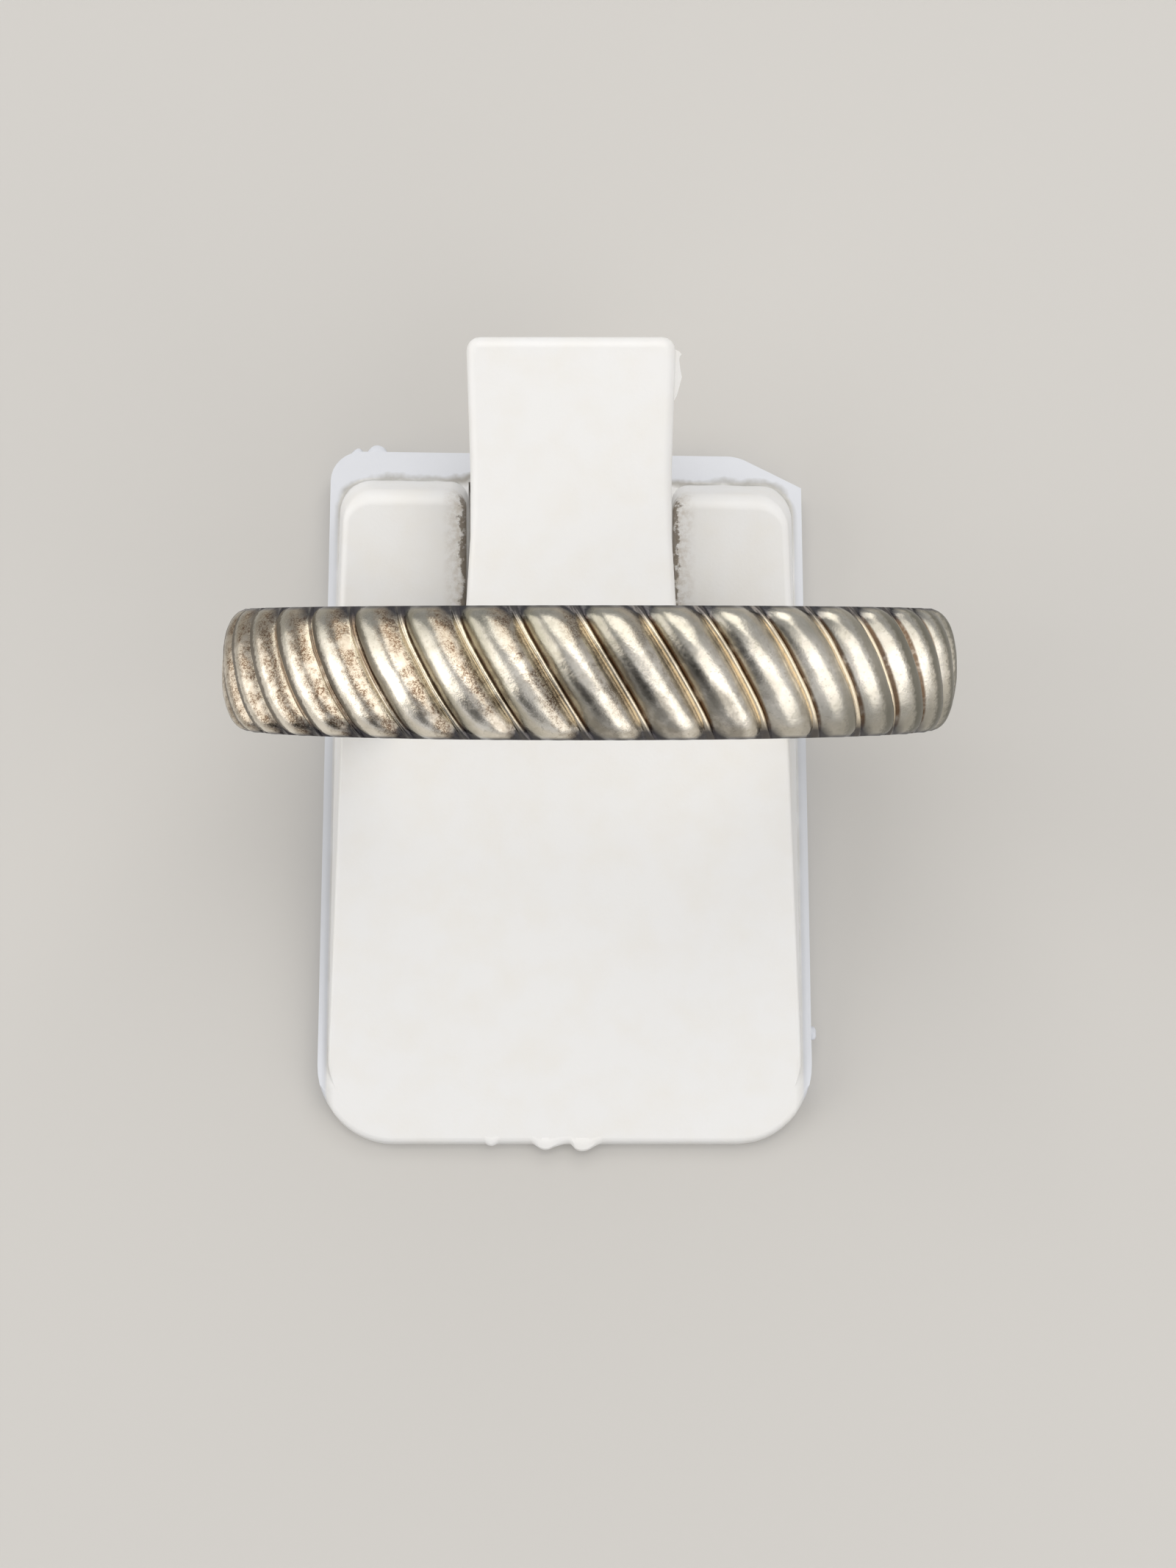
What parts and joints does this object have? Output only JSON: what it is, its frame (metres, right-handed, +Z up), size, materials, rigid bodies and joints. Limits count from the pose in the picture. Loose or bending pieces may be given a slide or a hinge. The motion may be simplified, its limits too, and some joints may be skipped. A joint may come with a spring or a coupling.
{
  "type": "band ring on display stand",
  "caption": "Slim silver band ring with slanted rope ribs, held upright on the tongue of a white moulded plastic ramp stand that rests flat.",
  "frame": {"origin": "on the surface that the stand rests on, below the middle of the whole part's box", "axes": "+Z up, +Y towards the back, where the ramp rises and the tongue points, +X to the right seen from the front; the line of finger through the ring leans 17 degrees above +Y"},
  "size_m": [0.0204, 0.0234, 0.0209],
  "materials": {
    "silver": "worn polished silver, warm brown tarnish in the grooves between the ribs",
    "white_plastic": "satin white moulded plastic, a little dirt in the narrow gaps"
  },
  "bodies": {
    "root": {"rope_band": "silver", "display_stand": "white_plastic"}
  },
  "joints": []
}
